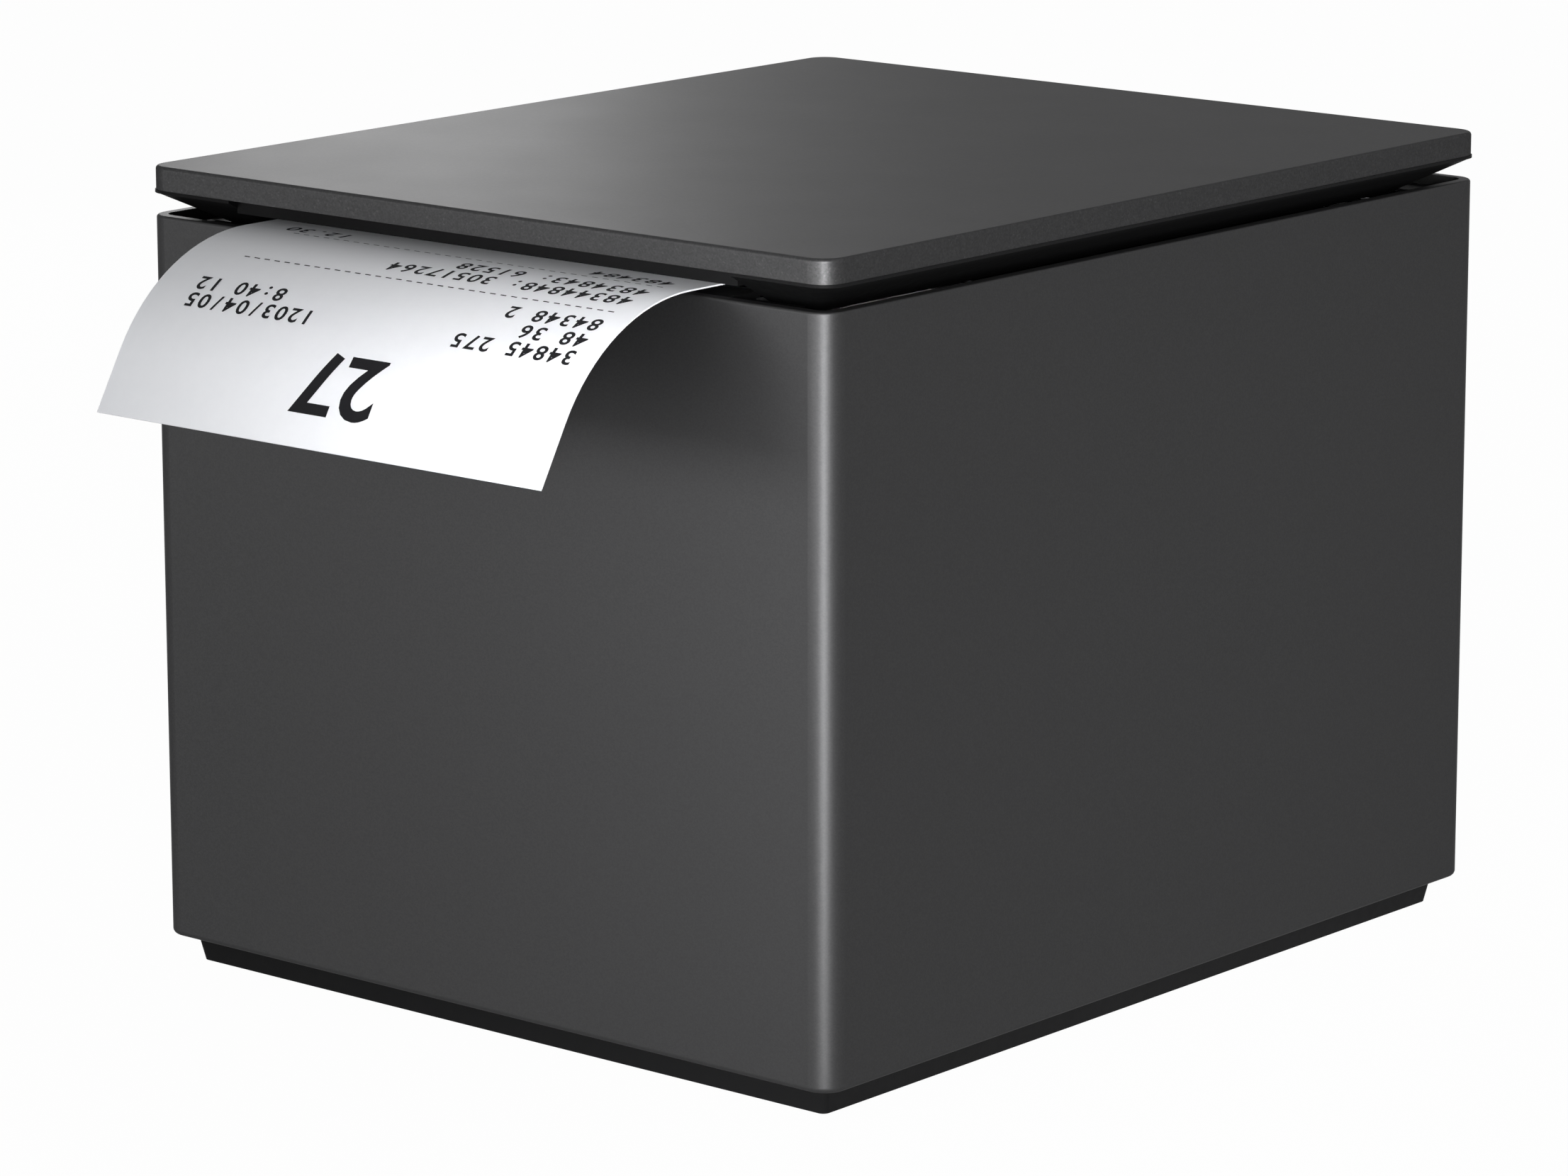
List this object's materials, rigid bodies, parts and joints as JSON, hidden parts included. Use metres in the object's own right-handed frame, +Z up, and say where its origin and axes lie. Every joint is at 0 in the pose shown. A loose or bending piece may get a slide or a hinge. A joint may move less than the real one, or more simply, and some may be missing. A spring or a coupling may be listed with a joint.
{
  "type": "receipt printer",
  "caption": "Cube-shaped thermal receipt printer with a flat hinged lid, plain metal sleeve, set-back plinth and a printed paper strip curling down over the front.",
  "frame": {"origin": "centre of the foot pad's underside, on the resting plane", "axes": "+X to the right seen from the front, -Y to the front where the paper leaves, +Z up"},
  "size_m": [0.1227, 0.1743, 0.1138],
  "materials": {
    "sleeve_paint": "satin, fine metallic",
    "lid_paint": "satin, fine metallic",
    "black_plastic": "moulded",
    "grey_plastic": "moulded",
    "white_plastic": "moulded",
    "rubber": "matte",
    "steel": "sheet",
    "blade_steel": "ground",
    "aluminium": "extruded",
    "ceramic": "glazed",
    "board": "solder mask",
    "chip": "moulded",
    "screw": "black zinc",
    "brass": "turned",
    "paper": "thermal, smooth",
    "cardboard": "plain",
    "clear": "clear pipe"
  },
  "bodies": {
    "body": {"outer_sleeve": "sleeve_paint", "base_tray": "black_plastic", "base_screws": "screw", "foot_pad": "rubber", "top_deck": "black_plastic", "deck_screws": "screw", "paper_bucket": "black_plastic", "bucket_screws": "screw", "near_end_sensor": "chip", "mechanism_frame": "steel", "frame_screws": "screw", "platen_bushes": "brass", "idler_axle": "steel", "axle_clip": "steel", "feed_motor": "steel", "motor_screws": "screw", "cutter_plate": "steel", "cutter_guides": "grey_plastic", "cutter_motor": "steel", "paper_guide": "black_plastic", "paper_sensor": "chip", "receipt_paper": "paper", "lid_catches": "steel", "lid_switch": "black_plastic", "main_board": "board", "board_screws": "screw", "board_chips": "chip", "board_capacitors": "grey_plastic", "power_socket": "black_plastic", "usb_socket": "steel", "serial_socket": "black_plastic", "drawer_socket": "black_plastic", "port_panel": "black_plastic", "rocker_housing": "black_plastic", "button_board": "board", "button_switch": "chip", "status_light": "clear"},
    "lid": {"lid_cover": "lid_paint", "lid_tray": "black_plastic", "lid_screws": "screw", "head_frame": "steel", "head_pivot_pin": "steel", "fixed_blade": "blade_steel", "exit_lip": "black_plastic", "head_spring": "steel", "hinge_pins": "steel"},
    "head": {"heat_sink": "aluminium", "print_head": "ceramic"},
    "platen": {"platen_shaft": "steel", "platen_rubber": "rubber", "platen_gear": "white_plastic"},
    "reduction": {"reduction_gear": "white_plastic"},
    "motor_rotor": {"motor_pinion": "brass"},
    "roll": {"paper_roll": "paper", "roll_core": "cardboard"},
    "blade": {"cutter_blade": "blade_steel"},
    "cutter_drive": {"cutter_pinion": "white_plastic"},
    "feed_key": {"feed_button": "grey_plastic"},
    "power_key": {"power_rocker": "black_plastic"}
  },
  "joints": [
    {"name": "lid_hinge", "type": "hinge", "parent": "body", "child": "lid", "pos_m": [0, 0.0686, 0.111], "axis": [-1, 0, 0], "range_deg": [0, 90]},
    {"name": "head_pivot", "type": "hinge", "parent": "lid", "child": "head", "pos_m": [0, -0.026, 0.1094], "axis": [-1, 0, 0], "range_deg": [0, 1], "stiffness_Nm_per_rad": 4, "springref_deg": -1.15, "deforming": ["head_spring"]},
    {"name": "platen_spin", "type": "hinge", "parent": "body", "child": "platen", "pos_m": [0, -0.046, 0.1005], "axis": [1, 0, 0], "continuous": true},
    {"name": "reduction_spin", "type": "hinge", "parent": "body", "child": "reduction", "pos_m": [0.0485, -0.04053, 0.08546], "axis": [1, 0, 0], "continuous": true},
    {"name": "motor_spin", "type": "hinge", "parent": "body", "child": "motor_rotor", "pos_m": [0.045, -0.04709, 0.06742], "axis": [1, 0, 0], "continuous": true},
    {"name": "roll_spin", "type": "hinge", "parent": "body", "child": "roll", "pos_m": [0, 0.019, 0.0573], "axis": [1, 0, 0], "continuous": true},
    {"name": "blade_slide", "type": "slide", "parent": "body", "child": "blade", "axis": [0, 0, 1], "range_m": [0, 0.004]},
    {"name": "cutter_pinion_spin", "type": "hinge", "parent": "body", "child": "cutter_drive", "pos_m": [-0.01, -0.06, 0.074], "axis": [0, -1, 0], "range_deg": [0, 41]},
    {"name": "feed_press", "type": "slide", "parent": "body", "child": "feed_key", "axis": [1, 0, 0], "range_m": [0, 0.001], "stiffness_N_per_m": 400},
    {"name": "power_rock", "type": "hinge", "parent": "body", "child": "power_key", "pos_m": [-0.04, 0.0686, 0.0215], "axis": [1, 0, 0], "range_deg": [0, 22.5]}
  ],
  "couplings": [
    {"joint": "platen_spin", "follows": "roll_spin", "ratio": 4.7959},
    {"joint": "reduction_spin", "follows": "roll_spin", "ratio": -7.1939},
    {"joint": "motor_spin", "follows": "roll_spin", "ratio": 21.582},
    {"joint": "cutter_pinion_spin", "follows": "blade_slide", "rad_per_m": 178.57}
  ]
}
